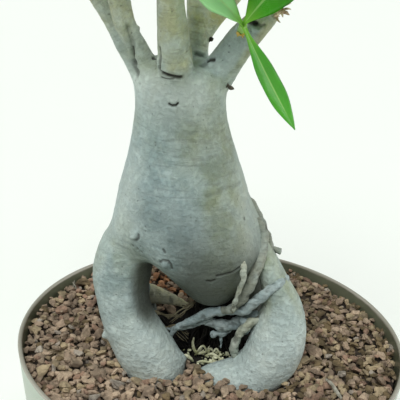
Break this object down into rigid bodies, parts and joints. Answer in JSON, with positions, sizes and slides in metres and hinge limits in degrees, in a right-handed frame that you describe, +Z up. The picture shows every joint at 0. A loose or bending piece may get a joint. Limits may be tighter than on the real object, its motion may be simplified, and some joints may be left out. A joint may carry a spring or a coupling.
{
  "type": "potted desert rose adenium",
  "caption": "Potted succulent: a swollen grey stem on thick bare roots in a round pot of lava grit, with short branches ending in rosettes of green leaves.",
  "frame": {"origin": "centre of the pot's flat underside, on the surface that it stands on", "axes": "+Z up along the pot's axis, -Y towards the side that the picture shows, +X to the right in the picture"},
  "size_m": [0.3099, 0.26, 0.5197],
  "materials": {
    "pot_glaze": "pale grey-green glaze, satin, breaking to grey-brown on the rim",
    "potting_mix": "dark crumbly bark and grit mix",
    "lava_grit": "matte porous red-brown granules",
    "bark": "smooth living grey bark with fine cross wrinkles",
    "leaf": "waxy green leaf with a pale midrib"
  },
  "bodies": {
    "root": {"pot": "pot_glaze", "potting_mix": "potting_mix", "lava_grit": "lava_grit", "caudex": "bark", "leaf_rosette_left_inner": "leaf", "leaf_rosette_left_outer": "leaf", "leaf_rosette_centre_front": "leaf", "leaf_rosette_back_right": "leaf", "leaf_rosette_back_fork": "leaf", "leaf_rosette_right_fork": "leaf", "leaf_side_shoot": "leaf"}
  },
  "joints": []
}
